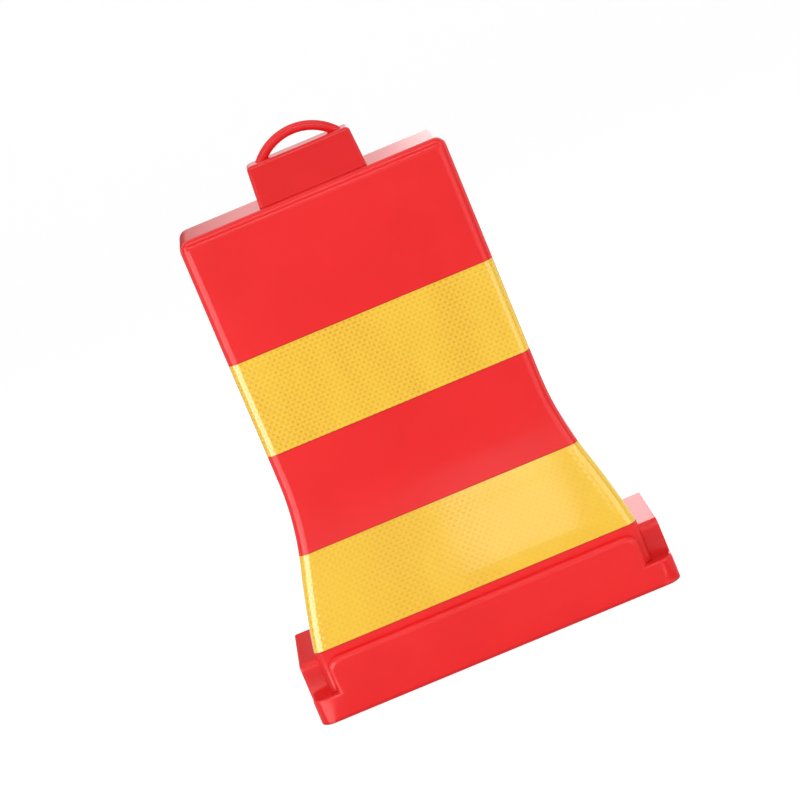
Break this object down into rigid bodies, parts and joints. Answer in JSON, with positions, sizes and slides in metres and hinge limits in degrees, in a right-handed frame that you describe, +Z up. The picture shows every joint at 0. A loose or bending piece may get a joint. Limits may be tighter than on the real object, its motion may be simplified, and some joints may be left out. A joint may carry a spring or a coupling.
{
  "type": "traffic barrier",
  "caption": "Free-standing ballasted road barrier with a flared tank, wrap-round reflective bands, a filler stopper with a carrying loop, a drain and a weighted base.",
  "frame": {"origin": "on the floor, under the middle of the base", "axes": "+Z up, +X to the right as seen from the front, +Y to the rear, where the drain is"},
  "size_m": [0.5812, 0.2778, 0.8413],
  "materials": {
    "red_plastic": "smooth moulded polyethylene",
    "yellow_film": "reflective film with a fine dotted lattice",
    "black_plastic": "moulded, satin",
    "rubber": "matt",
    "concrete": "cast",
    "zinc_steel": "zinc plated",
    "brass": "turned"
  },
  "bodies": {
    "barrier": {"tank_body": "red_plastic", "base_tray": "red_plastic", "upper_film_front": "yellow_film", "upper_film_rear": "yellow_film", "lower_film_front": "yellow_film", "lower_film_rear": "yellow_film", "ballast_slab": "concrete", "bottom_plate": "black_plastic", "plate_screw_1": "zinc_steel", "plate_screw_2": "zinc_steel", "plate_screw_3": "zinc_steel", "plate_screw_4": "zinc_steel", "plate_screw_5": "zinc_steel", "plate_screw_6": "zinc_steel", "plate_screw_7": "zinc_steel", "plate_screw_8": "zinc_steel", "rubber_foot_1": "rubber", "rubber_foot_2": "rubber", "rubber_foot_3": "rubber", "rubber_foot_4": "rubber", "tank_bolt_1": "zinc_steel", "tank_bolt_2": "zinc_steel", "tank_bolt_3": "zinc_steel", "tank_bolt_4": "zinc_steel", "tank_washer_1": "zinc_steel", "tank_washer_2": "zinc_steel", "tank_washer_3": "zinc_steel", "tank_washer_4": "zinc_steel", "tank_insert_1": "brass", "tank_insert_2": "brass", "tank_insert_3": "brass", "tank_insert_4": "brass", "drain_bush": "black_plastic"},
    "stopper": {"filler_stopper": "red_plastic", "stopper_seal": "rubber", "carry_loop": "red_plastic"},
    "gasket": {"drain_gasket": "rubber"},
    "plug": {"drain_plug": "black_plastic"}
  },
  "joints": [
    {"name": "stopper_lift", "type": "slide", "parent": "barrier", "child": "stopper", "axis": [0, 0, 1], "range_m": [0, 0.05]},
    {"name": "drain_travel", "type": "slide", "parent": "barrier", "child": "gasket", "axis": [0, 1, 0], "range_m": [0, 0.0226]},
    {"name": "drain_turn", "type": "hinge", "parent": "gasket", "child": "plug", "pos_m": [0, 0.12359, 0.0673], "axis": [0, 1, 0], "range_deg": [0, 1800]}
  ],
  "couplings": [
    {"joint": "drain_travel", "follows": "drain_turn", "m_per_rad": 0.0007162}
  ]
}
